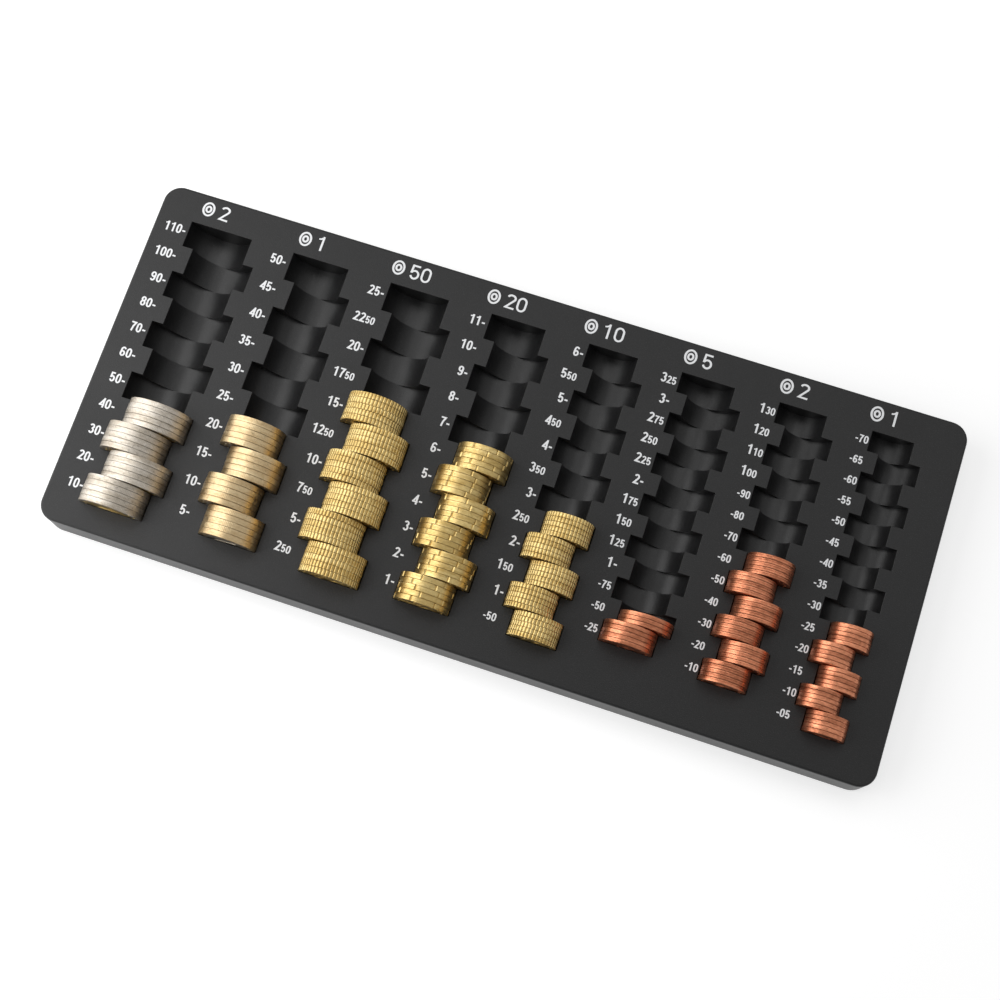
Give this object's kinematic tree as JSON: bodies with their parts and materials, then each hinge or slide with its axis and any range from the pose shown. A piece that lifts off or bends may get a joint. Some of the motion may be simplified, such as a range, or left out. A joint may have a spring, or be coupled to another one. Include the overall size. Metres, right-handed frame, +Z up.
{
  "type": "coin counting tray",
  "caption": "Low plastic tray with a row of staggered half-round pockets for each coin size; each pocket holds five coins on edge beside a printed scale, so value is read without counting.",
  "frame": {"origin": "centre of the tray's footprint, on the surface that the skirt stands on", "axes": "+X across the channels, from the largest coins to the smallest; +Y from the front edge to the back; +Z up"},
  "size_m": [0.342, 0.1502, 0.0287],
  "materials": {
    "tray_plastic": "fine-grained matt black moulding",
    "silver_coin": "circulated cupronickel, finely milled edge",
    "gold_coin": "circulated golden alloy, milled or notched edge",
    "copper_coin": "circulated copper-plated steel, smooth edge",
    "scale_ink": "thin matt white ink of the printed scale"
  },
  "bodies": {
    "tray": {"frame": "tray_plastic", "channel_200": "tray_plastic", "channel_100": "tray_plastic", "channel_50": "tray_plastic", "channel_20": "tray_plastic", "channel_10": "tray_plastic", "channel_5": "tray_plastic", "channel_2": "tray_plastic", "channel_1": "tray_plastic"},
    "coins_200": {"coins_200_pile_1": "silver_coin", "coins_200_pile_2": "silver_coin", "coins_200_pile_3": "silver_coin", "coins_200_pile_4": "silver_coin"},
    "coins_100": {"coins_100_pile_1": "gold_coin", "coins_100_pile_2": "gold_coin", "coins_100_pile_3": "gold_coin", "coins_100_pile_4": "gold_coin"},
    "coins_50": {"coins_50_pile_1": "gold_coin", "coins_50_pile_2": "gold_coin", "coins_50_pile_3": "gold_coin", "coins_50_pile_4": "gold_coin", "coins_50_pile_5": "gold_coin", "coins_50_pile_6": "gold_coin"},
    "coins_20": {"coins_20_pile_1": "gold_coin", "coins_20_pile_2": "gold_coin", "coins_20_pile_3": "gold_coin", "coins_20_pile_4": "gold_coin", "coins_20_pile_5": "gold_coin", "coins_20_pile_6": "gold_coin"},
    "coins_10": {"coins_10_pile_1": "gold_coin", "coins_10_pile_2": "gold_coin", "coins_10_pile_3": "gold_coin", "coins_10_pile_4": "gold_coin", "coins_10_pile_5": "gold_coin"},
    "coins_5": {"coins_5_pile_1": "copper_coin", "coins_5_pile_2": "copper_coin"},
    "coins_2": {"coins_2_pile_1": "copper_coin", "coins_2_pile_2": "copper_coin", "coins_2_pile_3": "copper_coin", "coins_2_pile_4": "copper_coin", "coins_2_pile_5": "copper_coin", "coins_2_pile_6": "copper_coin"},
    "coins_1": {"coins_1_pile_1": "copper_coin", "coins_1_pile_2": "copper_coin", "coins_1_pile_3": "copper_coin", "coins_1_pile_4": "copper_coin", "coins_1_pile_5": "copper_coin"}
  },
  "joints": [
    {"name": "coins_200_lift", "type": "slide", "parent": "tray", "child": "coins_200", "axis": [0, 0, 1], "range_m": [0, 0.02]},
    {"name": "coins_100_lift", "type": "slide", "parent": "tray", "child": "coins_100", "axis": [0, 0, 1], "range_m": [0, 0.02]},
    {"name": "coins_50_lift", "type": "slide", "parent": "tray", "child": "coins_50", "axis": [0, 0, 1], "range_m": [0, 0.02]},
    {"name": "coins_20_lift", "type": "slide", "parent": "tray", "child": "coins_20", "axis": [0, 0, 1], "range_m": [0, 0.02]},
    {"name": "coins_10_lift", "type": "slide", "parent": "tray", "child": "coins_10", "axis": [0, 0, 1], "range_m": [0, 0.02]},
    {"name": "coins_5_lift", "type": "slide", "parent": "tray", "child": "coins_5", "axis": [0, 0, 1], "range_m": [0, 0.02]},
    {"name": "coins_2_lift", "type": "slide", "parent": "tray", "child": "coins_2", "axis": [0, 0, 1], "range_m": [0, 0.02]},
    {"name": "coins_1_lift", "type": "slide", "parent": "tray", "child": "coins_1", "axis": [0, 0, 1], "range_m": [0, 0.02]}
  ]
}
